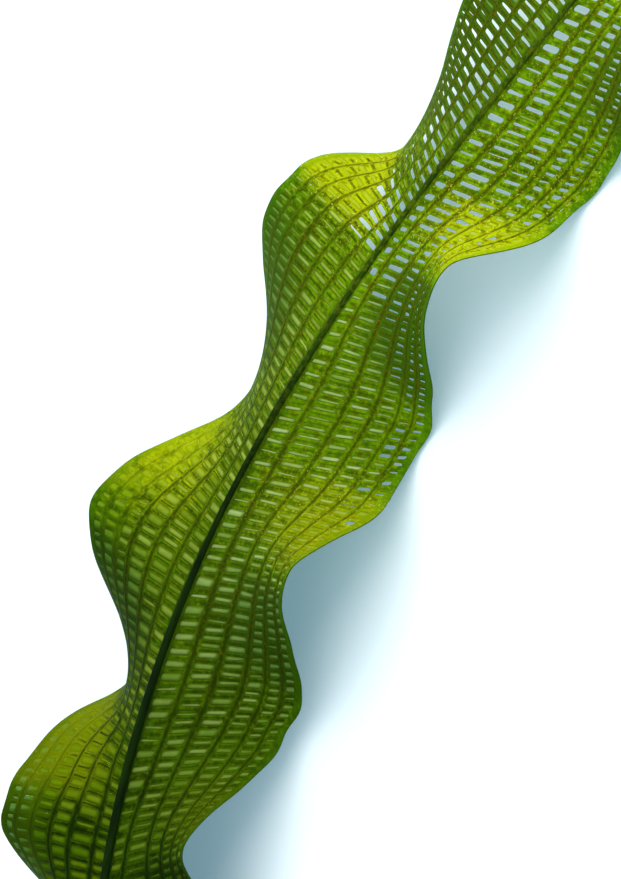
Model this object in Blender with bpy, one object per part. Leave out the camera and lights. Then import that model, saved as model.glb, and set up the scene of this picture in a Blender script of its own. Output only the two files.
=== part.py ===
"""A whole leaf of the lace plant, cut at its stalk and lying on a surface.

The leaf is one thick midrib, which runs on below the blade as the stalk, with a
half of the blade on each side. Each half is an open net: long veins run from the
base to the tip and short cross bars join them, with an empty window between every
two bars. Both margins wave up and down, and the low points of the waves lie on
the surface.

Places on the leaf are given by two numbers: s, the way along the midrib from the
foot of the blade in millimetres, and v, the share of the half width, which is 0
on the midrib's axis and 1 at the margin.
"""
import math

import bmesh
import bpy
import numpy as np

MM = 0.001

# Lengths along the midrib, in millimetres.
BLADE_LENGTH = 480.0
STALK_LENGTH = 110.0
SPINE_STEP = 2.0

# Half width of the blade in the middle of the leaf, and how it lessens to both ends.
HALF_WIDTH = 40.35
WIDTH_MEASURED_AT = 235.0
NARROWING_PER_MM = 0.00081
FOOT_ROUNDING, FOOT_POWER = 95.0, 0.75
TIP_ROUNDING, TIP_POWER = 105.0, 0.70

# The midrib bends sideways, most of all at BEND_AT, and arches a little.
BEND_PER_MM = 0.00404
BEND_AT = 95.0
BEND_FADES_TO_TIP = 300.0
BEND_FADES_TO_STALK = 130.0
ARCH_PER_MM = 0.00034
STALK_DROOP = 0.10
STALK_DROOP_LENGTH = 60.0

# Radius of the midrib and stalk at a few places along it.
ROD_PLACES = (-STALK_LENGTH, 0.0, 100.0, 210.0, 380.0, BLADE_LENGTH)
ROD_RADII = (2.4, 2.1, 1.6, 1.1, 0.85, 0.6)
ROD_SIDES = 8
ROD_RINGS = 48

# Cross section of the blade: it droops from the midrib and each wave tilts it more
# towards the margin. Angles in radians.
DROOP = 0.175
WAVE_AT_MIDRIB = 0.157
WAVE_GAIN = 0.48
BARS_LEAN = 0.164
SECTION_STEPS = 12

# Where each margin turns, high and low in turn, and how strong each wave is there.
LEFT_TURNS = (-6, 55, 97, 128, 174, 219, 282, 302, 386, 420, 458, 500)
LEFT_RISE = (1.0, 1.07, 1.2, 1.08, 0.77, 1.01, 0.78, 0.91, 0.97, 1.0, 1.0, 1.0)
RIGHT_TURNS = (9, 55, 98, 139, 198, 242, 303, 334, 394, 433, 476, 520)
RIGHT_RISE = (1.0, 1.0, 1.1, 0.52, 1.09, 1.11, 1.34, 0.96, 0.96, 1.0, 1.0, 1.0)

# Where each half is wider or narrower than even, and by what share of its width.
LEFT_SWELLS = ((20, 0.0), (60, 0.05), (85, -0.08), (104, -0.16), (120, 0.06), (140, -0.07),
               (180, 0.07), (205, -0.05), (255, 0.12), (300, -0.04), (350, -0.07), (400, 0.0))
RIGHT_SWELLS = ((80, 0.0), (120, -0.05), (160, 0.11), (205, 0.12), (240, 0.02),
                (280, -0.15), (315, 0.0), (360, 0.02), (400, 0.0))

# The net: long veins at these shares of the way from midrib to margin, and rows of
# windows.
VEINS = (0.165, 0.375, 0.57, 0.725, 0.86)
VEIN_WIDTH = 1.3
MARGIN_BAND = 2.8
BLADE_THICKNESS = 0.9
GAP = 0.4
ROWS = 32
FIRST_ROW_AT = 12.0
LAST_ROW_AT = 468.0
BAR_SHARE = 0.42
FOOT_EDGES = (3.0, 6.0)
TIP_EDGES = (473.0, 478.0)

# How the finished leaf is laid down: small turns that bring three low points of the
# margins onto the surface, then a turn that puts the length along X, then a shift.
LAY_ROLL = math.radians(0.731)
LAY_PITCH = math.radians(1.022)
LAY_YAW = math.radians(-11.0)
LAY_SHIFT = (45.05, 19.18, 25.02)


def spine():
    """Places along the midrib with the point and the three directions at each."""
    s = np.arange(-STALK_LENGTH, BLADE_LENGTH + SPINE_STEP / 2, SPINE_STEP)
    to_tip = 1 - (s - BEND_AT) / BEND_FADES_TO_TIP
    to_stalk = 1 - (BEND_AT - s) / BEND_FADES_TO_STALK
    bend = -BEND_PER_MM * np.clip(np.where(s > BEND_AT, to_tip, to_stalk), 0, 1)
    middle = np.argmin(abs(s - WIDTH_MEASURED_AT))
    heading = running_sum(bend)
    heading -= heading[middle]
    pitch = -ARCH_PER_MM * (np.maximum(s, 0) - WIDTH_MEASURED_AT)
    pitch += STALK_DROOP * np.clip(-s / STALK_DROOP_LENGTH, 0, 1)
    along = np.stack([np.cos(pitch) * np.cos(heading),
                      np.cos(pitch) * np.sin(heading), np.sin(pitch)], 1)
    left = np.stack([-np.sin(heading), np.cos(heading), 0 * heading], 1)
    up = np.cross(along, left)
    point = np.stack([running_sum(along[:, i]) for i in range(3)], 1)
    return s, point - point[middle], along, left, up


def running_sum(values):
    """Area under the values from the first place to each place of the spine."""
    steps = (values[1:] + values[:-1]) / 2 * SPINE_STEP
    return np.concatenate([[0.0], np.cumsum(steps)])


SPINE = spine()


def on_spine(column, s):
    """One column of the spine (1 point, 2 along, 3 left, 4 up) at the places s."""
    table = SPINE[column]
    return np.stack([np.interp(s, SPINE[0], table[:, i]) for i in range(3)], -1)


def rod_radius(s):
    return np.interp(s, ROD_PLACES, ROD_RADII)


def eased(s, places, values):
    """The value at s, with a smooth step from each place to the next."""
    places, values = np.array(places, float), np.array(values)
    i = np.clip(np.searchsorted(places, s) - 1, 0, len(places) - 2)
    share = np.clip((s - places[i]) / (places[i + 1] - places[i]), 0, 1)
    return values[i] + (values[i + 1] - values[i]) * (1 - np.cos(math.pi * share)) / 2


def half_width(side, s):
    """Half width of one side: nearly even, rounded off at the foot and the tip."""
    foot = np.sin(math.pi / 2 * np.clip(s / FOOT_ROUNDING, 0, 1)) ** FOOT_POWER
    tip = np.sin(math.pi / 2 * np.clip((BLADE_LENGTH - s) / TIP_ROUNDING, 0, 1))
    even = HALF_WIDTH * (1 - NARROWING_PER_MM * (s - WIDTH_MEASURED_AT))
    swell = eased(s, *zip(*(LEFT_SWELLS if side > 0 else RIGHT_SWELLS)))
    return even * foot * tip ** TIP_POWER * (1 + swell)


def wave(side, s):
    """Height of the wave at s: high and low at every second turn of the margin."""
    rises = np.array(LEFT_RISE if side > 0 else RIGHT_RISE)
    rises[1::2] *= -1
    return eased(s, LEFT_TURNS if side > 0 else RIGHT_TURNS, rises)


def blade_point(side, s, v):
    """Points on the middle surface of one half; side is 1 for left, -1 for right."""
    width = v * half_width(side, s)
    lift = wave(side, s)
    out, rise = np.zeros(s.shape), np.zeros(s.shape)
    for k in range(SECTION_STEPS):
        share = v * (k + 0.5) / SECTION_STEPS
        tilt = -DROOP + (WAVE_AT_MIDRIB + WAVE_GAIN * share) * lift
        out += np.cos(tilt) / SECTION_STEPS
        rise += np.sin(tilt) / SECTION_STEPS
    return (on_spine(1, s)
            + BARS_LEAN * width[:, None] * on_spine(2, s)
            + side * (out * width)[:, None] * on_spine(3, s)
            + (rise * width)[:, None] * on_spine(4, s))


def lay_down(points):
    """Turn and shift points in millimetres onto the surface, and give metres."""
    for axis, angle in ((0, LAY_ROLL), (1, LAY_PITCH), (2, LAY_YAW)):
        a, b = (axis + 1) % 3, (axis + 2) % 3
        turned = points.copy()
        turned[:, a] = points[:, a] * math.cos(angle) - points[:, b] * math.sin(angle)
        turned[:, b] = points[:, a] * math.sin(angle) + points[:, b] * math.cos(angle)
        points = turned
    return (points + np.array(LAY_SHIFT)) * MM


def row_edges():
    """Places s of all edges across the blade: two for each row of windows."""
    pitch = (LAST_ROW_AT - FIRST_ROW_AT) / ROWS
    edges = list(FOOT_EDGES)
    for row in range(ROWS):
        start = FIRST_ROW_AT + row * pitch
        edges += [start + pitch * BAR_SHARE / 2, start + pitch * (1 - BAR_SHARE / 2)]
    return np.array(edges + list(TIP_EDGES))


def column_edges(side, s):
    """Places v of all edges along the blade at s: two for each column of windows."""
    width = half_width(side, s)
    inner = (rod_radius(s) + GAP) / width
    lines = [inner] + [inner + (1 - inner) * v for v in VEINS] + [1.0 + 0 * s]
    edges = [inner]
    for k in range(len(lines) - 1):
        room = lines[k + 1] - lines[k]
        side = np.minimum(VEIN_WIDTH / 2 / width, 0.3 * room)
        first = lines[k] + (side if k else 1.4 * side)
        last = lines[k + 1] - side
        if k == len(lines) - 2:
            last = lines[k + 1] - np.minimum(MARGIN_BAND / width, 0.6 * room)
        edges += [first, last]
    return edges + [1.0 + 0 * s]


def build_half(name, side):
    """One half of the blade: a grid with its windows taken out, then thickened."""
    rows = row_edges()
    columns = np.stack(column_edges(side, rows), 1)
    across, along = columns.shape[1] - 1, len(rows) - 1
    bm = bmesh.new()
    bmesh.ops.create_grid(bm, x_segments=along, y_segments=across, size=0.5)
    place = [(round((v.co.x + 0.5) * along), round((v.co.y + 0.5) * across))
             for v in bm.verts]
    windows = [face for face in bm.faces if is_window(face, along, across)]
    row = np.array([i for i, _ in place])
    column = np.array([j for _, j in place])
    points = lay_down(blade_point(side, rows[row], columns[row, column]))
    for vert, point in zip(bm.verts, points):
        vert.co = point
    bmesh.ops.delete(bm, geom=windows, context="FACES")
    if side < 0:
        bmesh.ops.reverse_faces(bm, faces=bm.faces)
    half = add_object(name, bm)
    thicken = half.modifiers.new("thickness", "SOLIDIFY")
    thicken.thickness = BLADE_THICKNESS * MM
    thicken.offset = 0.0
    return half


def is_window(face, along, across):
    """True for the grid cells that are windows: every second one both ways."""
    middle = face.calc_center_median()
    i = int((middle.x + 0.5) * along) - len(FOOT_EDGES)
    j = int((middle.y + 0.5) * across)
    return j % 2 == 1 and i % 2 == 0 and 0 <= i < 2 * ROWS


def build_rod(name):
    """The stalk and the midrib: one rod that thins from the cut end to the tip."""
    bm = bmesh.new()
    s = np.linspace(-STALK_LENGTH, BLADE_LENGTH, ROD_RINGS)
    angles = 2 * math.pi * np.arange(ROD_SIDES) / ROD_SIDES
    rings = []
    for place in s:
        spot = np.full(ROD_SIDES, place)
        round_left = (rod_radius(spot) * np.cos(angles))[:, None] * on_spine(3, spot)
        round_up = (rod_radius(spot) * np.sin(angles))[:, None] * on_spine(4, spot)
        ring = lay_down(on_spine(1, spot) + round_left + round_up)
        rings.append([bm.verts.new(point) for point in ring])
    for near, far in zip(rings, rings[1:]):
        for k in range(ROD_SIDES):
            m = (k + 1) % ROD_SIDES
            bm.faces.new((near[k], near[m], far[m], far[k]))
    bm.faces.new(rings[0][::-1])
    bm.faces.new(rings[-1])
    bmesh.ops.recalc_face_normals(bm, faces=bm.faces)
    return add_object(name, bm)


def add_object(name, bm):
    """Turn a bmesh into an object in the scene."""
    mesh = bpy.data.meshes.new(name)
    bm.to_mesh(mesh)
    bm.free()
    thing = bpy.data.objects.new(name, mesh)
    bpy.context.scene.collection.objects.link(thing)
    return thing


def paint(thing, name, colour, roughness):
    """Give an object a plain material of its own."""
    material = bpy.data.materials.new(name)
    material.use_nodes = True
    shader = material.node_tree.nodes["Principled BSDF"]
    shader.inputs["Base Color"].default_value = (*colour, 1.0)
    shader.inputs["Roughness"].default_value = roughness
    material.diffuse_color = (*colour, 1.0)
    thing.data.materials.append(material)


for old in list(bpy.data.objects):
    bpy.data.objects.remove(old, do_unlink=True)

rod = build_rod("stalk_and_midrib")
rod.data.shade_smooth()
rod.data.set_sharp_from_angle(angle=math.radians(50))
paint(rod, "midrib_green", (0.045, 0.085, 0.018), 0.45)

left_half = build_half("blade_left_half", 1)
paint(left_half, "left_half_green", (0.16, 0.27, 0.035), 0.4)

right_half = build_half("blade_right_half", -1)
paint(right_half, "right_half_green", (0.13, 0.24, 0.035), 0.4)
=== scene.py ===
"""A whole leaf of the lace plant, picked and laid on a pale surface, still wet.

Places on the leaf are given by two numbers: s, the way along the midrib from the foot
of the blade in millimetres, and v, the share of the half width, which is 0 on the
midrib's axis and 1 at the margin. Each half of the blade is drawn flat, as a net of
veins and bars with windows between them, and is then bent into its waves. In the
materials, q counts the columns of windows, from 0 on the midrib's axis to 6 at the margin.
"""
import math

import bmesh
import bpy
import numpy as np
from mathutils import Matrix


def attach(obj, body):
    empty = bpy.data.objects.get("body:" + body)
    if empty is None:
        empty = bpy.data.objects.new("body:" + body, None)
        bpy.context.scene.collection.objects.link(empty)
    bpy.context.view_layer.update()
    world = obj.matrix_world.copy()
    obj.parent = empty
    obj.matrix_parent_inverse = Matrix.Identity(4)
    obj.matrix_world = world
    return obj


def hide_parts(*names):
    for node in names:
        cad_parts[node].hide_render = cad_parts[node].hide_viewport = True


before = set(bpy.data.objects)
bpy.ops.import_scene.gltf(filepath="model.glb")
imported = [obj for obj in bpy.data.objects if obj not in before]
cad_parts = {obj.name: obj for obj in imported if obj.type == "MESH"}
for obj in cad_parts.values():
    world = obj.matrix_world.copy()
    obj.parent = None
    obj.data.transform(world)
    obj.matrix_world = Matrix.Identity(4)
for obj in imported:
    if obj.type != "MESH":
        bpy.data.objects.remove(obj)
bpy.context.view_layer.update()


# Stalk and midrib
# One thick, tough, dark green rod that carries the whole leaf. It runs from the cut end
# of the stalk, up the middle of the blade, to the tip, and thins all the way.

# Lengths are in millimetres and turns in radians. The bend is sharpest at BEND_AT.
MM = 0.001
BLADE_LENGTH, STALK_LENGTH = 480.0, 110.0
MIDDLE_AT, SPINE_STEP = 235.0, 2.0
BEND_PER_MM, BEND_AT, BEND_FADES_TO_TIP, BEND_FADES_TO_STALK = 0.00404, 95.0, 300.0, 130.0
ARCH_PER_MM, STALK_DROOP, STALK_DROOP_LENGTH = 0.00034, 0.10, 60.0
ROD_PLACES = (-STALK_LENGTH, 0.0, 100.0, 210.0, 380.0, BLADE_LENGTH)
ROD_RADII = (2.4, 2.1, 1.6, 1.1, 0.85, 0.6)
LAY_TURNS = (math.radians(0.731), math.radians(1.022), math.radians(-11.0))
LAY_SHIFT = (45.05, 19.18, 25.02)


def running_sum(values):
    """The sum of the values along the spine, from 0 at its start."""
    steps = (values[1:] + values[:-1]) / 2 * SPINE_STEP
    return np.concatenate([[0.0], np.cumsum(steps)])


def lay_spine():
    """Places along the midrib, and its point, forward, left and up at each of them.

    At MIDDLE_AT it is level and heads along X.
    """
    s = np.arange(-STALK_LENGTH, BLADE_LENGTH + 1, SPINE_STEP)
    to_tip = 1 - (s - BEND_AT) / BEND_FADES_TO_TIP
    to_stalk = 1 - (BEND_AT - s) / BEND_FADES_TO_STALK
    bend = -BEND_PER_MM * np.clip(np.where(s > BEND_AT, to_tip, to_stalk), 0, 1)
    middle = np.argmin(abs(s - MIDDLE_AT))
    heading = running_sum(bend)
    heading -= heading[middle]
    pitch = -ARCH_PER_MM * (np.maximum(s, 0) - MIDDLE_AT)
    pitch += STALK_DROOP * np.clip(-s / STALK_DROOP_LENGTH, 0, 1)
    forward = np.stack([np.cos(pitch) * np.cos(heading),
                        np.cos(pitch) * np.sin(heading), np.sin(pitch)], 1)
    left = np.stack([-np.sin(heading), np.cos(heading), 0 * heading], 1)
    up = np.cross(forward, left)
    point = np.stack([running_sum(forward[:, i]) for i in range(3)], 1)
    return s, {"point": point - point[middle], "forward": forward, "left": left, "up": up}


spine_places, spine = lay_spine()


def on_spine(part, s):
    """The spine's point, forward, left or up at the places s."""
    return np.stack([np.interp(s, spine_places, spine[part][:, i]) for i in range(3)], -1)


def turned(points):
    """The three small turns that lay the leaf down, about X, then Y, then Z."""
    for axis, angle in enumerate(LAY_TURNS):
        a, b = (axis + 1) % 3, (axis + 2) % 3
        points = points.copy()
        first = points[..., a] * math.cos(angle) - points[..., b] * math.sin(angle)
        points[..., b] = points[..., a] * math.sin(angle) + points[..., b] * math.cos(angle)
        points[..., a] = first
    return points


def laid(points):
    """Millimetres on the leaf to metres on the surface that it lies on."""
    return (turned(points) + np.array(LAY_SHIFT)) * MM


class Shade:
    """A shader socket that can stand in sums and products, which add the Math nodes."""

    def __init__(self, tree, socket=None):
        self.tree, self.socket = tree, socket

    def node(self, kind, settings, values, output=0):
        """Add a node: its settings first, then a value or a Shade for each socket."""
        made = self.tree.nodes.new("ShaderNode" + kind)
        for name, value in settings.items():
            setattr(made, name, value)
        for name, value in values.items():
            if isinstance(value, Shade):
                self.tree.links.new(value.socket, made.inputs[name])
            else:
                made.inputs[name].default_value = value
        return Shade(self.tree, made.outputs[output])

    def maths(self, operation, *others):
        """Add a Math node on this value and the others."""
        return self.node("Math", {"operation": operation}, dict(enumerate((self, *others))))

    def __add__(self, other):
        return self.maths("ADD", other)

    def __sub__(self, other):
        return self.maths("SUBTRACT", other)

    def __rsub__(self, other):
        return (self * -1.0).maths("ADD", other)

    def __mul__(self, other):
        return self.maths("MULTIPLY", other)

    __radd__, __rmul__ = __add__, __mul__

    def away_from(self, middle):
        """How far the fraction of this value is from the one given, at most half."""
        return ((self + (0.5 - middle)).maths("FRACT") - 0.5).maths("ABSOLUTE")

    def from_to(self, low, high):
        """0 below low, 1 above high, and eased between them."""
        return self.node("MapRange", {"interpolation_type": "SMOOTHSTEP"},
                         {"Value": self, "From Min": low, "From Max": high})

    def mix(self, one, other):
        """The first colour where this is 0 and the second where it is 1."""
        one, other = [c if isinstance(c, Shade) else (*c, 1.0) for c in (one, other)]
        return self.node("Mix", {"data_type": "RGBA"}, {0: self, 6: one, 7: other}, 2)

    def place(self):
        """The piece's own coordinates, in metres."""
        return self.node("TexCoord", {}, {}, "Object")

    def noise(self, scale, detail=2.0, roughness=0.5, stretch=None):
        """Cloudy noise on the piece's own coordinates, with so many lumps a metre."""
        place = self.place()
        if stretch:
            place = self.node("Mapping", {}, {"Vector": place, "Scale": stretch})
        return self.node("TexNoise", {}, {"Vector": place, "Scale": scale, "Detail": detail,
                                          "Roughness": roughness})


def new_material(name, **constants):
    """A material, its Principled shader with these values, and a Shade to start from."""
    material = bpy.data.materials.new(name)
    material.use_nodes = True
    shader = material.node_tree.nodes["Principled BSDF"]
    for socket, value in constants.items():
        shader.inputs[socket.replace("_", " ")].default_value = value
    return material, shader, Shade(material.node_tree)


def wire(shader, **shades):
    """Link each Shade to the shader's socket of that name, with _ for a space."""
    for name, shade in shades.items():
        shader.id_data.links.new(shade.socket, shader.inputs[name.replace("_", " ")])


def finished(name, bm, *materials):
    """Turn a bmesh into a smooth-shaded object that rides with the leaf."""
    mesh = bpy.data.meshes.new(name)
    bm.to_mesh(mesh)
    bm.free()
    mesh.shade_smooth()
    piece = bpy.data.objects.new(name, mesh)
    bpy.context.scene.collection.objects.link(piece)
    for material in materials:
        mesh.materials.append(material)
    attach(piece, "root")
    return piece


ROD_SIDES, ROD_RINGS = 20, 236
ROD_TIP, ROD_TIP_LEAST = 2.0, 0.4
LUMP_SIZE, LUMP_STEP = 0.025, 10
GROOVE_DEPTH, GROOVE_WIDTH = 0.12, 0.3
PITH_RIM, PITH_DEPTH = 0.35 * MM, 0.1 * MM

bm = bmesh.new()
bmesh.ops.create_cone(bm, cap_ends=True, segments=ROD_SIDES, radius1=1, radius2=1, depth=1)
sides = [e for e in bm.edges if abs(e.verts[0].co.z - e.verts[1].co.z) > 0.5]
bmesh.ops.subdivide_edges(bm, edges=sides, cuts=ROD_RINGS)
x, y, z = np.array([v.co[:] for v in bm.verts]).T
s = -STALK_LENGTH + (z + 0.5) * (STALK_LENGTH + BLADE_LENGTH)
rng = np.random.default_rng(7)
lump_places = np.arange(-STALK_LENGTH, BLADE_LENGTH + 1, LUMP_STEP)
lump_sizes = 1 + LUMP_SIZE * rng.standard_normal(len(lump_places))
radius = np.interp(s, ROD_PLACES, ROD_RADII) * np.interp(s, lump_places, lump_sizes)
radius *= np.clip((BLADE_LENGTH - s) / ROD_TIP, ROD_TIP_LEAST, 1)
groove = GROOVE_DEPTH * np.exp(-(x / GROOVE_WIDTH) ** 2) * (y > 0)
skin_points = laid(on_spine("point", s) + (radius * x)[:, None] * on_spine("left", s)
                   + (radius * y * (1 - groove))[:, None] * on_spine("up", s))
for vert, point in zip(bm.verts, skin_points):
    vert.co = point
cut = min((f for f in bm.faces if len(f.verts) > 4), key=lambda f: f.calc_center_median().x)
cut.material_index = 1
pith = bmesh.ops.inset_region(bm, faces=[cut], thickness=PITH_RIM, depth=-PITH_DEPTH)
for f in pith["faces"]:
    f.material_index = 0
bmesh.ops.recalc_face_normals(bm, faces=bm.faces[:])

# Object coordinates are in metres from the middle of the leaf, with X towards its tip.
skin, shader, start = new_material("midrib_skin", Specular_IOR_Level=0.02)
along = start.node("SeparateXYZ", {}, {"Vector": start.place()}, "X")
towards_tip = along.from_to(0.00, 0.13)
patches = start.noise(90.0, 3.0).from_to(0.38, 0.66)
streaks = start.noise(60.0, 4.0, 0.6, stretch=(1.0, 14.0, 14.0)).from_to(0.35, 0.7)
dark = towards_tip.mix((0.0025, 0.009, 0.001), (0.016, 0.040, 0.001))
light = towards_tip.mix((0.008, 0.024, 0.001), (0.042, 0.090, 0.002))
colour = (streaks * 0.6 + patches * 0.4).mix(dark, light)
on_stalk = (1 - along.from_to(-0.26, -0.14)) * (0.35 + streaks * 0.4)
colour = on_stalk.mix(colour, (0.050, 0.085, 0.010))
olive = start.noise(620.0, 3.0).from_to(0.47, 0.60) * towards_tip * 0.75
colour = olive.mix(colour, (0.085, 0.120, 0.002))
rust = start.noise(420.0, 2.0).from_to(0.60, 0.70) * towards_tip * 0.35
colour = rust.mix(colour, (0.10, 0.075, 0.002))
bump = start.node("Bump", {}, {"Height": streaks, "Strength": 0.35, "Distance": 0.0003})
wire(shader, Base_Color=colour, Roughness=0.34 + patches * 0.2, Normal=bump)

pith, shader, start = new_material("cut_pith", Roughness=0.6)
pores = start.noise(4200.0, 1.0).from_to(0.58, 0.66)
wire(shader, Base_Color=pores.mix((0.40, 0.48, 0.18), (0.12, 0.17, 0.03)))

rod = finished("stalk_and_midrib_skin", bm, skin, pith)
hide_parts("stalk_and_midrib")


# Left half of the blade
# A thin, wet green net: five long veins run from the foot to the tip, and short cross bars
# join them. The windows are open towards the tip, and the solid margin waves up and down.

HALF_WIDTH, NARROWING_PER_MM = 40.35, 0.00081
FOOT_ROUNDING, FOOT_POWER, TIP_ROUNDING, TIP_POWER = 95.0, 0.75, 105.0, 0.70
DROOP, WAVE_AT_MIDRIB, WAVE_GAIN, BARS_LEAN, SECTION_STEPS = 0.175, 0.157, 0.48, 0.164, 12
VEINS = (0.0, 0.196, 0.410, 0.600, 0.750, 0.874, 1.0)
VEIN_HALF_WIDTHS = (0.048, 0.021, 0.026, 0.027, 0.028, 0.021, 0.050)
COLUMNS = len(VEINS) - 1

LEFT = dict(
    side=1,
    # Places where the margin's wave turns, and its height at each, up and down by turns
    turns=(-6, 55, 97, 128, 174, 219, 282, 302, 386, 420, 458, 500),
    rise=(1.0, 1.07, 1.2, 1.08, 0.77, 1.01, 0.78, 0.91, 0.97, 1.0, 1.0, 1.0),
    # How much wider the half is than its even outline, from place to place
    swells=((20, 0.0), (60, 0.05), (85, -0.08), (104, -0.16), (120, 0.06), (140, -0.07),
            (180, 0.07), (205, -0.05), (255, 0.12), (300, -0.04), (350, -0.07), (400, 0.0)),
    # Millimetres from one row of windows to the next, in each column
    pitch=(3.5, 3.4, 3.2, 3.1, 2.8, 2.7),
    # Share of that which is open, from place to place, and how much of it outer columns keep
    opening=((200, 0.66), (265, 0.45), (310, 0.36)),
    outer_share=0.85,
    # How many times as wide the veins are towards the tip, and where the first of them runs
    vein_gain=0.80,
    first_vein=((80, 0.165), (100, 0.165), (150, 0.205), (480, 0.205)),
    # Where windows with a skin begin to be fewer and where they are few, in each column
    shut=((270, 291), (274, 294), (284, 304), (288, 307), (291, 312), (292, 313)),
    # The crest of a wave that keeps more skins
    crest=291.0,
    # Millimetres by which the bands of painted sunlight come before their slopes, and those of
    # painted shade after
    sun_lead=0.0,
    shade_lag=0.0,
    # More painted sunlight, or painted shade if below 0, towards the tip, and how much of it
    # the margin gets
    tip_painted_sun=-0.13,
    tip_painted_sun_at_margin=0.3,
    # How far the flat net's bars reach forward for each millimetre away from the midrib
    lean=-0.20,
    seed=11)


def eased(s, places, values):
    """The value at s, with a smooth step from each place to the next."""
    places, values = np.array(places, float), np.array(values)
    i = np.clip(np.searchsorted(places, s) - 1, 0, len(places) - 2)
    share = np.clip((s - places[i]) / (places[i + 1] - places[i]), 0, 1)
    return values[i] + (values[i + 1] - values[i]) * (1 - np.cos(math.pi * share)) / 2


def half_width(half, s):
    """Millimetres from the midrib's axis to the margin at s."""
    foot = np.sin(math.pi / 2 * np.clip(s / FOOT_ROUNDING, 0, 1)) ** FOOT_POWER
    tip = np.sin(math.pi / 2 * np.clip((BLADE_LENGTH - s) / TIP_ROUNDING, 0, 1))
    even = HALF_WIDTH * (1 - NARROWING_PER_MM * (s - MIDDLE_AT))
    return even * foot * tip ** TIP_POWER * (1 + eased(s, *zip(*half["swells"])))


def wave(half, s):
    """Height of the margin's wave at s, which is high at one turn and low at the next."""
    rises = np.array(half["rise"])
    rises[1::2] *= -1
    return eased(s, half["turns"], rises)


def blade_point(half, s, v):
    """Points on the middle surface of one half of the blade."""
    width, lift = v * half_width(half, s), wave(half, s)
    out, rise = np.zeros(s.shape), np.zeros(s.shape)
    for k in range(SECTION_STEPS):
        share = v * (k + 0.5) / SECTION_STEPS
        tilt = -DROOP + (WAVE_AT_MIDRIB + WAVE_GAIN * share) * lift
        out += np.cos(tilt) / SECTION_STEPS
        rise += np.sin(tilt) / SECTION_STEPS
    return (on_spine("point", s) + BARS_LEAN * width[:, None] * on_spine("forward", s)
            + half["side"] * (out * width)[:, None] * on_spine("left", s)
            + (rise * width)[:, None] * on_spine("up", s))


# The net ends a little short of the foot and of the tip, and its windows further short.
NET_END, FIRST_WINDOW, LAST_WINDOW = 1.2, 6.0, 7.0
EVEN_ROOM, ROOM_BY_WIDTH, ROOM_SPREAD = 0.7, 0.3, (0.76, 1.24)
WINDOW_SIZES = (0.4, 0.85, 1.0, 1.2)
WINDOW_ODDS = (0.14, 0.30, 0.36, 0.20)
WINDOW_SPREAD, WIDEST_WINDOW = (0.85, 1.15), 0.76


def window_edges(half, k, rng):
    """Places along column k where its windows start and end, a little uneven."""
    pitch, narrower = half["pitch"][k], half["outer_share"] if k > 2 else 1.0
    edges, s = [NET_END], FIRST_WINDOW
    while s < BLADE_LENGTH - LAST_WINDOW:
        room = pitch * (EVEN_ROOM + ROOM_BY_WIDTH * half_width(half, np.array(s)) / HALF_WIDTH)
        room *= rng.uniform(*ROOM_SPREAD)
        opened = float(eased(s, *zip(*half["opening"]))) * narrower
        opened *= rng.choice(WINDOW_SIZES, p=WINDOW_ODDS)
        opened = min(opened * rng.uniform(*WINDOW_SPREAD), WIDEST_WINDOW)
        edges += [s + room * (1 - opened) / 2, s + room * (1 + opened) / 2]
        s += room
    return np.array(edges + [BLADE_LENGTH - NET_END])


# Share of the half width, length and phase of the two waves in which a vein wanders
VEIN_WANDER = ((0.007, 21.0, 2.1), (0.006, 47.0, 5.0))
VEINS_WIDEN, BESIDE_MIDRIB, WINDOW_CORNER = (220, 300), 0.92, 0.2


def vein_line(half, k, s):
    """Share of the half width at which long vein k runs; it wanders a little."""
    if k in (0, COLUMNS):
        return VEINS[k] + 0.0 * s
    line = eased(s, *zip(*half["first_vein"])) if k == 1 else VEINS[k]
    for size, length, phase in VEIN_WANDER:
        line = line + size * np.sin(s / length + phase * k)
    return line


def column_lines(half, k, s):
    """The four lines of points across the windows of column k, at the places s."""
    wider = eased(s, VEINS_WIDEN, (1.0, half["vein_gain"]))
    first = vein_line(half, k, s) + VEIN_HALF_WIDTHS[k] * (wider if k else BESIDE_MIDRIB)
    last = vein_line(half, k + 1, s) - VEIN_HALF_WIDTHS[k + 1] * wider
    corner = WINDOW_CORNER * (last - first)
    return first, first + corner, last - corner, last


# The four points across each end of a window move by chance, one by one and as a slant.
POINT_SPREAD, POINT_SHARES, SLANT_SHARES = 0.10, (1.0, 0.5, 0.5, 1.0), (-1.0, -0.6, 0.6, 1.0)
# Window i of column k has the number k * COLUMN_NUMBERS + i.
FLAT_WIDTH, COLUMN_NUMBERS, MARGIN_RIM = 100, 1000, 0.985


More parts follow.
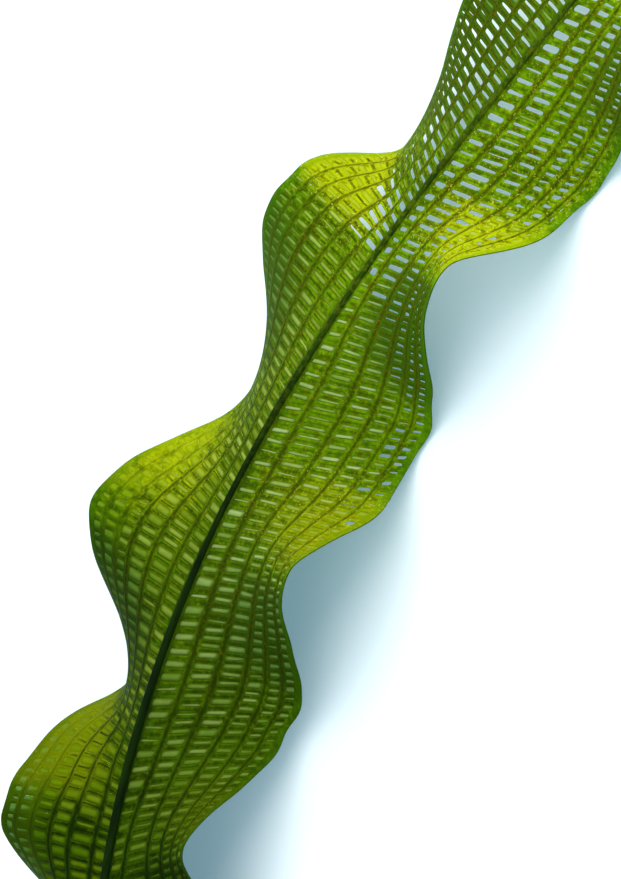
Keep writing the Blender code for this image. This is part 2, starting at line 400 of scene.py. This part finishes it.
def flat_net(half):
    """Draw one half flat, all windows still closed: x is s and y is v times FLAT_WIDTH."""
    rng = np.random.default_rng(half["seed"])
    bm = bmesh.new()
    bm.verts.layers.float.new("row")
    bm.verts.layers.float.new("chance")
    window = bm.faces.layers.int.new("window")
    row, chance = (bm.verts.layers.float[name] for name in ("row", "chance"))
    numbers, sides = {}, []
    for k in range(COLUMNS):
        edges = window_edges(half, k, rng)
        count = len(edges) - 1
        made = bmesh.ops.create_grid(bm, x_segments=count, y_segments=3, size=0.5)["verts"]
        place = {v: (round((v.co.x + 0.5) * count), round((v.co.y + 0.5) * 3)) for v in made}
        bend = rng.normal(0, POINT_SPREAD, (len(edges), 4)) * POINT_SHARES
        bend += np.outer(rng.normal(0, POINT_SPREAD, len(edges)), SLANT_SHARES)
        bend[[0, -1]] = 0
        luck = rng.random(count + 1)
        lines = np.stack(column_lines(half, k, edges), 1)
        lean = half["lean"] * lines * half_width(half, edges)[:, None]
        lean[[0, -1]] = 0
        for vert, (i, j) in place.items():
            vert.co = (edges[i] + bend[i, j] + lean[i, j], lines[i, j] * FLAT_WIDTH, 0)
            vert[row] = i / 2
            vert[chance] = luck[(i - 1) // 2]
        for f in {f for v in made for f in v.link_faces}:
            i = min(place[v][0] for v in f.verts)
            if i % 2 and i < count:
                numbers[f] = k * COLUMN_NUMBERS + i
        seams = {e for v in made for e in v.link_edges}
        sides.append([[e for e in seams if all(place[v][1] == j for v in e.verts)]
                      for j in (0, 3)])
    join_net(bm, sides)
    for f, number in numbers.items():
        f[window] = number
    return bm, rng


def join_net(bm, sides):
    """Join the columns by the long veins, and add the strips at the midrib and the margin."""
    for (_, outer), (inner, _) in zip(sides, sides[1:]):
        made = bmesh.ops.bridge_loops(bm, edges=outer + inner)
        own = {v for e in outer for v in e.verts}
        rungs = {e for f in made["faces"] for e in f.edges
                 if (e.verts[0] in own) != (e.verts[1] in own)}
        bmesh.ops.subdivide_edges(bm, edges=list(rungs), cuts=1)
    for edges, steps in ((sides[0][0], (0.0,)), (sides[-1][1], (MARGIN_RIM, 1.0))):
        for v in steps:
            grown = bmesh.ops.extrude_edge_only(bm, edges=edges)["geom"]
            edges = [g for g in grown if isinstance(g, bmesh.types.BMEdge)]
            for vert in (g for g in grown if isinstance(g, bmesh.types.BMVert)):
                vert.co.y = v * FLAT_WIDTH
    for f in bm.faces:
        f.normal_update()
    bmesh.ops.reverse_faces(bm, faces=[f for f in bm.faces if f.normal.z < 0])


FEW_SHUT, MORE_AT_CREST, CREST_REACH, MORE_AT_TIP, TIP_REACH = 0.06, 0.3, 13, 0.5, 14


def choose_skins(half, bm, rng):
    """The numbers of the windows that keep a skin: all near the foot, few near the tip."""
    window = bm.faces.layers.int["window"]
    places = {f[window]: f.calc_center_median().x for f in bm.faces if f[window]}
    shut = set()
    for number, s in sorted(places.items()):
        k = number // COLUMN_NUMBERS
        share = float(eased(s, half["shut"][k], (1.0, FEW_SHUT)))
        share += MORE_AT_CREST * (abs(s - half["crest"]) < CREST_REACH and k > 2)
        share += MORE_AT_TIP * (s > BLADE_LENGTH - TIP_REACH)
        if rng.random() < share:
            shut.add(number)
    return shut


# Share of the half width and length of the three waves in the margin's ripple
RIPPLES = ((0.009, 3.7), (0.008, 6.9), (0.006, 2.3))
RIPPLES_END, RIPPLE_POWER = 20, 4
SLOPE_REACH, TIP_PAINTED_SUN_AT, MARGIN_PAINTED_SUN_AT = 4, (305, 340), (0.6, 0.9)
VEIN_REACH, BAR_THICKNESS, OUTERMOST, OUTERMOST_THICKNESS = 0.06, 0.75, 0.99, 0.6


def bend_half(half, bm):
    """Bend a flat mesh into the waves, and note on it what its material needs."""
    flat = np.array([v.co[:] for v in bm.verts])
    s = np.clip(flat[:, 0], NET_END / 2, BLADE_LENGTH - NET_END / 2)
    v = flat[:, 1] / FLAT_WIDTH
    ripple = sum(size * np.sin(s / length + n * half["seed"])
                 for n, (size, length) in enumerate(RIPPLES, 1))
    ripple = ripple * (s < BLADE_LENGTH - RIPPLES_END)
    veins = np.stack([vein_line(half, k, s) for k in range(COLUMNS + 1)], 1)
    column = np.clip((v[:, None] >= veins).sum(1) - 1, 0, COLUMNS - 1)
    low, high = np.take_along_axis(veins, np.stack([column, column + 1], 1), 1).T
    across = column + (v - low) / (high - low)
    # The sunny value sets where sunlight and shade are painted: slopes falling towards the tip
    # get painted sun, rising ones painted shade, with more added towards the tip.
    sun, shade = s + half["sun_lead"], s - half["shade_lag"]
    falling = wave(half, sun - SLOPE_REACH) - wave(half, sun + SLOPE_REACH)
    rising = wave(half, shade + SLOPE_REACH) - wave(half, shade - SLOPE_REACH)
    slope = (np.maximum(falling, 0) - np.maximum(rising, 0)) * v
    by_margin = eased(v, MARGIN_PAINTED_SUN_AT, (1.0, half["tip_painted_sun_at_margin"]))
    slope += half["tip_painted_sun"] * eased(s, TIP_PAINTED_SUN_AT, (0.0, 1.0)) * by_margin
    points = laid(blade_point(half, s, v * (1 + ripple * v ** RIPPLE_POWER)))
    if half["side"] < 0:
        bmesh.ops.reverse_faces(bm, faces=bm.faces[:])
    bm.verts.index_update()
    net = bm.loops.layers.uv.new("net")
    for loop in (loop for f in bm.faces for loop in f.loops):
        i = loop.vert.index
        loop[net].uv = (s[i] / BLADE_LENGTH, across[i] / COLUMNS)
    sunny = bm.verts.layers.float.new("sunny")
    weight = bm.verts.layers.deform.new()
    thick = np.where(abs(across - np.round(across)) < VEIN_REACH, 1.0, BAR_THICKNESS)
    thick[v > OUTERMOST] = OUTERMOST_THICKNESS
    for i, vert in enumerate(bm.verts):
        vert.co = points[i]
        vert[sunny] = slope[i]
        vert[weight][0] = thick[i]


TISSUE_THICKNESS, SKIN_THICKNESS, SKIN_OFFSET = 0.5 * MM, 0.1 * MM, 2.0


def build_half(half, name, net_material, skin_material, node):
    """One half of the blade as two pieces: its net, and the skins in closed windows."""
    net, rng = flat_net(half)
    shut = choose_skins(half, net, rng)
    skins = net.copy()
    window = skins.faces.layers.int["window"]
    bmesh.ops.delete(skins, geom=[f for f in skins.faces if f[window] not in shut],
                     context="FACES")
    window = net.faces.layers.int["window"]
    bmesh.ops.delete(net, geom=[f for f in net.faces if f[window]], context="FACES")
    for bm in (net, skins):
        bend_half(half, bm)

    tissue = finished(name + "_net", net, net_material)
    tissue.vertex_groups.new(name="thickness")
    rounded = tissue.modifiers.new("rounded windows", "SUBSURF")
    rounded.levels = rounded.render_levels = 1
    wall = tissue.modifiers.new("wall", "SOLIDIFY")
    wall.thickness, wall.offset, wall.vertex_group = TISSUE_THICKNESS, 0.0, "thickness"
    tissue.modifiers.new("flat tops", "WEIGHTED_NORMAL")
    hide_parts(node)

    film = finished(name + "_skins", skins, skin_material)
    wall = film.modifiers.new("wall", "SOLIDIFY")
    wall.thickness, wall.offset = SKIN_THICKNESS, SKIN_OFFSET


def attribute(start, name):
    """A number that bend_half or flat_net noted on the mesh."""
    return start.node("Attribute", {"attribute_name": name}, {}, "Fac")


def net_places(start):
    """A point's s, q and row in the net, and its sunny value, which sets painted sunlight and
    shade.
    """
    flat = start.node("UVMap", {"uv_map": "net"}, {})
    s = start.node("SeparateXYZ", {}, {"Vector": flat}, "X") * BLADE_LENGTH
    q = start.node("SeparateXYZ", {}, {"Vector": flat}, "Y") * COLUMNS
    return s, q, attribute(start, "row"), attribute(start, "sunny")


def soft_parts(s, q, softness):
    """How far a point is in the outer columns, in the foot, and in the foot's outer columns."""
    soft = q.from_to(2.8, 4.4) * (1 - s.from_to(265.0, 300.0)) * softness
    foot = (1 - s.from_to(108.0, 150.0)) * softness
    return soft, foot, foot * q.from_to(2.4, 4.2)


def shaded(sunny, foot, most):
    """How much painted shade a slope gets that turns from the sun, less so at the foot."""
    return (sunny * -1.0).from_to(0.02, 0.24) * (most - foot * 0.6)


def leaf_tissue(name, painted_sun_from, painted_sun_to, bar_darkness, softness):
    """Wet green tissue: dark cords in veins and bars, with painted sunlight and painted shade.
    """
    material, shader, start = new_material(
        name, Specular_IOR_Level=0.004, Subsurface_Weight=0.25,
        Subsurface_Radius=(0.6, 1.0, 0.1), Subsurface_Scale=0.0012)
    s, q, row, sunny = net_places(start)
    soft, foot, foot_margin = soft_parts(s, q, softness)
    cloud = start.noise(45.0, 3.0)
    patch = start.noise(260.0, 3.0, 0.6)
    mottle = start.noise(620.0, 2.0, 0.55)
    grain = start.noise(1500.0, 2.0, 0.6)
    towards_tip = s.from_to(70.0, 330.0)

    # Where the cords run along veins and bars, and where they meet
    inside = q.from_to(0.3, 0.5) * (1 - q.from_to(5.4, 5.6))
    off_vein, off_bar = q.away_from(0.0), row.away_from(0.25)
    vein_cord = (1 - off_vein.from_to(0.01, 0.12)) * inside * (1 - soft * 0.7)
    between_veins = off_vein.from_to(0.08, 0.15) * inside
    bar_cord = (1 - off_bar.from_to(0.03, 0.10)) * between_veins * (1 - soft)
    joint = (1 - off_bar.from_to(0.06, 0.18)) * (1 - off_vein.from_to(0.05, 0.18)) * inside

    # Green tissue in deep and fresh patches, with lit rims round the windows
    # and a more even green in the foot's outer columns
    deep = towards_tip.mix((0.008, 0.021, 0.0003), (0.048, 0.125, 0.0006))
    fresh = towards_tip.mix((0.027, 0.064, 0.0003), (0.125, 0.28, 0.0012))
    colour = (cloud * 0.4 + patch * 0.4 + mottle * 0.4).from_to(0.50, 0.70).mix(deep, fresh)
    rim = off_bar.from_to(0.13, 0.24) * between_veins
    lit = towards_tip.mix((0.050, 0.075, 0.0003), (0.22, 0.27, 0.001))
    colour = (rim * 0.4).mix(colour, lit)
    colour = (foot_margin * 0.9).mix(colour, (0.052, 0.095, 0.001))
    # Painted sunlight in gold on the slopes that face the sun, and painted shade on those that
    # turn away
    painted_sun_mask = (sunny + (patch - 0.5) * 0.7).from_to(0.04, 0.60)
    painted_sunlight = s.from_to(painted_sun_from, painted_sun_to).mix((0.045, 0.075, 0.0003), (0.41, 0.47, 0.001))
    colour = (painted_sun_mask * 0.92).mix(colour, painted_sunlight)
    shade = towards_tip.mix((0.006, 0.017, 0.0003), (0.042, 0.108, 0.004))
    colour = shaded(sunny, foot, 0.9).mix(colour, shade)
    # Olive and straw mottles, straw more where sunlight is painted, a plain band along the
    # margin, and the cords
    olive = (1 - mottle.from_to(0.36, 0.48)) * towards_tip * (1 - q.from_to(5.3, 5.7))
    colour = (olive * 0.6).mix(colour, (0.105, 0.095, 0.001))
    straw = mottle.from_to(0.55, 0.68) * towards_tip * (0.35 + sunny)
    colour = (straw * 0.6).mix(colour, (0.42, 0.46, 0.012))
    band = q.from_to(5.5, 5.75) * 0.35
    colour = band.mix(colour, towards_tip.mix((0.028, 0.070, 0.001), (0.08, 0.20, 0.002)))
    cord = towards_tip.mix((0.003, 0.009, 0.001), (0.032, 0.045, 0.001))
    colour = (bar_cord * (0.4 + patch * 0.7) * bar_darkness).mix(colour, cord)
    colour = (vein_cord * (0.5 + patch * 0.55)).mix(colour, cord)
    # Rusty specks, the dark strip beside the midrib, painted glints on the sunny slopes and the
    # thin dark edge
    rust = (joint + vein_cord * 0.5 + bar_cord * 0.5) * grain.from_to(0.50, 0.66)
    colour = (rust * towards_tip * 0.8).mix(colour, (0.22, 0.12, 0.002))
    by_midrib = (1 - q.from_to(0.12, 0.46)) * (0.8 - towards_tip * 0.25)
    colour = by_midrib.mix(colour, cord)
    painted_glint = grain.from_to(0.60, 0.70) * (sunny + towards_tip * 0.35).from_to(0.1, 0.6)
    colour = (painted_glint * (0.1 + towards_tip * 0.45)).mix(colour, (0.75, 0.72, 0.10))
    edge = q.from_to(5.965, 5.99)
    colour = (edge * 0.8).mix(colour, (0.020, 0.050, 0.003))

    height = grain * 0.5 + patch * 0.6 + vein_cord * 1.2 + bar_cord * 0.5
    bump = start.node("Bump", {}, {"Height": height, "Strength": 0.5, "Distance": 0.00022})
    wire(shader, Base_Color=colour, Roughness=0.36 + grain * 0.22, Normal=bump)
    return material


def window_skin(name, painted_sun_from, painted_sun_to, pale_to, faintest, brightest, softness):
    """The pale film that still closes a window: greener where it meets the bars, with painted
    sun and shade.
    """
    material, shader, start = new_material(
        name, Roughness=0.45, Specular_IOR_Level=0.0, Subsurface_Weight=0.4,
        Subsurface_Radius=(0.6, 1.0, 0.2), Subsurface_Scale=0.001)
    s, q, row, sunny = net_places(start)
    soft, foot, foot_margin = soft_parts(s, q, softness)
    luck = attribute(start, "chance")
    patch = start.noise(300.0, 2.0)
    centre = (1 - row.away_from(0.75).from_to(0.06, 0.24)) * q.away_from(0.0).from_to(0.1, 0.3)
    towards_tip = s.from_to(60.0, pale_to)
    faint = towards_tip.mix((0.042, 0.080, 0.0003), faintest)
    bright = towards_tip.mix((0.100, 0.130, 0.001), brightest)
    pale = luck.mix(faint, bright)
    green = towards_tip.mix((0.028, 0.050, 0.001), (0.085, 0.125, 0.002))
    colour = (centre * (0.6 + patch * 0.5)).mix(green, pale)
    even = towards_tip.mix((0.035, 0.070, 0.0003), (0.16, 0.25, 0.002))
    colour = (soft * 0.85).mix(colour, even)
    edge = q.from_to(4.2, 5.0).mix((0.055, 0.100, 0.002), (0.085, 0.160, 0.045))
    colour = foot_margin.mix(colour, edge)
    # Painted sunlight in gold on the slopes that face the sun, and painted shade on those that
    # turn away
    painted_sunlight = s.from_to(painted_sun_from, painted_sun_to).mix((0.050, 0.080, 0.001), (0.38, 0.43, 0.004))
    colour = (sunny.from_to(0.03, 0.50) * 0.78).mix(colour, painted_sunlight)
    shade = towards_tip.mix((0.014, 0.032, 0.001), (0.090, 0.17, 0.035))
    colour = shaded(sunny, foot, 0.8).mix(colour, shade)
    wire(shader, Base_Color=colour)
    return material


left_tissue = leaf_tissue("left_tissue", painted_sun_from=50.0, painted_sun_to=235.0, bar_darkness=1.0,
                          softness=0.9)
left_film = window_skin("left_film", painted_sun_from=50.0, painted_sun_to=235.0, pale_to=310.0,
                        faintest=(0.16, 0.22, 0.012), brightest=(0.36, 0.44, 0.085),
                        softness=0.9)
build_half(LEFT, "blade_left_half", left_tissue, left_film, "blade_left_half")


# Right half of the blade
# The same net, grown from the other side of the midrib. Its waves turn at other places,
# its veins are wider and its windows smaller, and its bars lean forward to the tip.

RIGHT = dict(
    side=-1,
    turns=(9, 55, 98, 139, 198, 242, 303, 334, 394, 433, 476, 520),
    rise=(1.0, 1.0, 1.1, 0.52, 1.09, 1.11, 1.34, 0.96, 0.96, 1.0, 1.0, 1.0),
    swells=((80, 0.0), (120, -0.05), (160, 0.11), (205, 0.12), (240, 0.02), (280, -0.15),
            (315, 0.0), (360, 0.02), (400, 0.0)),
    pitch=(4.1, 3.05, 3.2, 2.75, 2.7, 2.8),
    opening=((170, 0.56), (225, 0.38), (280, 0.33), (310, 0.37)),
    outer_share=0.92,
    vein_gain=1.55,
    first_vein=((95, 0.150), (125, 0.205), (200, 0.210), (240, 0.185), (285, 0.155),
                (345, 0.205)),
    shut=((275, 292), (272, 290), (262, 287), (240, 276), (212, 256), (205, 245)),
    crest=309.0,
    sun_lead=10.0,
    shade_lag=8.0,
    tip_painted_sun=0.07,
    tip_painted_sun_at_margin=1.8,
    lean=0.26,
    seed=23)

right_tissue = leaf_tissue("right_tissue", painted_sun_from=90.0, painted_sun_to=335.0, bar_darkness=0.6,
                           softness=0.2)
right_film = window_skin("right_film", painted_sun_from=90.0, painted_sun_to=335.0, pale_to=290.0,
                         faintest=(0.20, 0.30, 0.050), brightest=(0.42, 0.54, 0.22),
                         softness=0.1)
build_half(RIGHT, "blade_right_half", right_tissue, right_film, "blade_right_half")


# Floor, lights and camera
# A plain pale floor, a large soft light from the tip's side, a broad one overhead, and
# the camera above the leaf at the angle that the picture was taken from.

FLOOR_HALF_WIDTH = 4.0

bm = bmesh.new()
bmesh.ops.create_grid(bm, x_segments=1, y_segments=1, size=FLOOR_HALF_WIDTH)
floor_mesh = bpy.data.meshes.new("floor")
bm.to_mesh(floor_mesh)
bm.free()
floor = bpy.data.objects.new("floor", floor_mesh)
bpy.context.scene.collection.objects.link(floor)
floor_mesh.materials.append(new_material(
    "pale_floor", Base_Color=(0.84, 0.84, 0.84, 1.0), Roughness=0.8, Specular_IOR_Level=0.2,
    Emission_Color=(0.34, 0.70, 0.90, 1.0), Emission_Strength=0.30)[0])


def add_light(name, azimuth, elevation, distance, size, watts, colour):
    """A square soft light that faces the leaf from that direction."""
    lamp = bpy.data.lights.new(name, "AREA")
    lamp.size, lamp.energy, lamp.color = size, watts, colour
    thing = bpy.data.objects.new(name, lamp)
    a, e = math.radians(azimuth), math.radians(elevation)
    direction = np.array([math.cos(e) * math.cos(a), math.cos(e) * math.sin(a), math.sin(e)])
    thing.location = direction * distance
    thing.rotation_euler = (math.pi / 2 - e, 0.0, a + math.pi / 2)
    bpy.context.scene.collection.objects.link(thing)


add_light("key", azimuth=2.0, elevation=44.0, distance=2.6, size=3.0, watts=66.0,
          colour=(1.0, 0.95, 0.84))
add_light("overhead", azimuth=-80.0, elevation=78.0, distance=2.4, size=3.2, watts=18.0,
          colour=(1.0, 0.95, 0.86))
world = bpy.data.worlds.new("studio")
world.use_nodes = True
sky = world.node_tree.nodes["Background"].inputs
sky["Color"].default_value = (0.68, 0.86, 1.0, 1.0)
sky["Strength"].default_value = 0.85
bpy.context.scene.world = world
bpy.context.scene.view_settings.view_transform = "Standard"

# Radians, millimetres and pixels. The angles are from before the leaf is laid down.
CAMERA_AZIMUTH, CAMERA_ELEVATION, CAMERA_ROLL = -1.103, 0.761, -1.384
CAMERA_DISTANCE, PIXELS_PER_MM, SENSOR_HEIGHT = 1100.0, 3.57, 36.0
SPINE_MIDDLE_IN_PICTURE = (275.52, 412.02)
PICTURE = (621, 879)

ce, se = math.cos(CAMERA_ELEVATION), math.sin(CAMERA_ELEVATION)
back = np.array([ce * math.cos(CAMERA_AZIMUTH), ce * math.sin(CAMERA_AZIMUTH), se])
level = np.array([-math.sin(CAMERA_AZIMUTH), math.cos(CAMERA_AZIMUTH), 0.0])
over = np.cross(back, level)
right = math.cos(CAMERA_ROLL) * level + math.sin(CAMERA_ROLL) * over
upward = -math.sin(CAMERA_ROLL) * level + math.cos(CAMERA_ROLL) * over
back, right, upward = (turned(v) for v in (back, right, upward))
lens = bpy.data.cameras.new("camera")
lens.sensor_fit = "VERTICAL"
lens.sensor_height = SENSOR_HEIGHT
lens.lens = PIXELS_PER_MM * CAMERA_DISTANCE / PICTURE[1] * SENSOR_HEIGHT
lens.shift_x = (PICTURE[0] / 2 - SPINE_MIDDLE_IN_PICTURE[0]) / PICTURE[1]
lens.shift_y = (SPINE_MIDDLE_IN_PICTURE[1] - PICTURE[1] / 2) / PICTURE[1]
lens.clip_end = 20.0
camera = bpy.data.objects.new("camera", lens)
camera.location = (np.array(LAY_SHIFT) + back * CAMERA_DISTANCE) * MM
camera.rotation_euler = Matrix(np.stack([right, upward, back], 1).tolist()).to_euler()
bpy.context.scene.collection.objects.link(camera)
bpy.context.scene.camera = camera
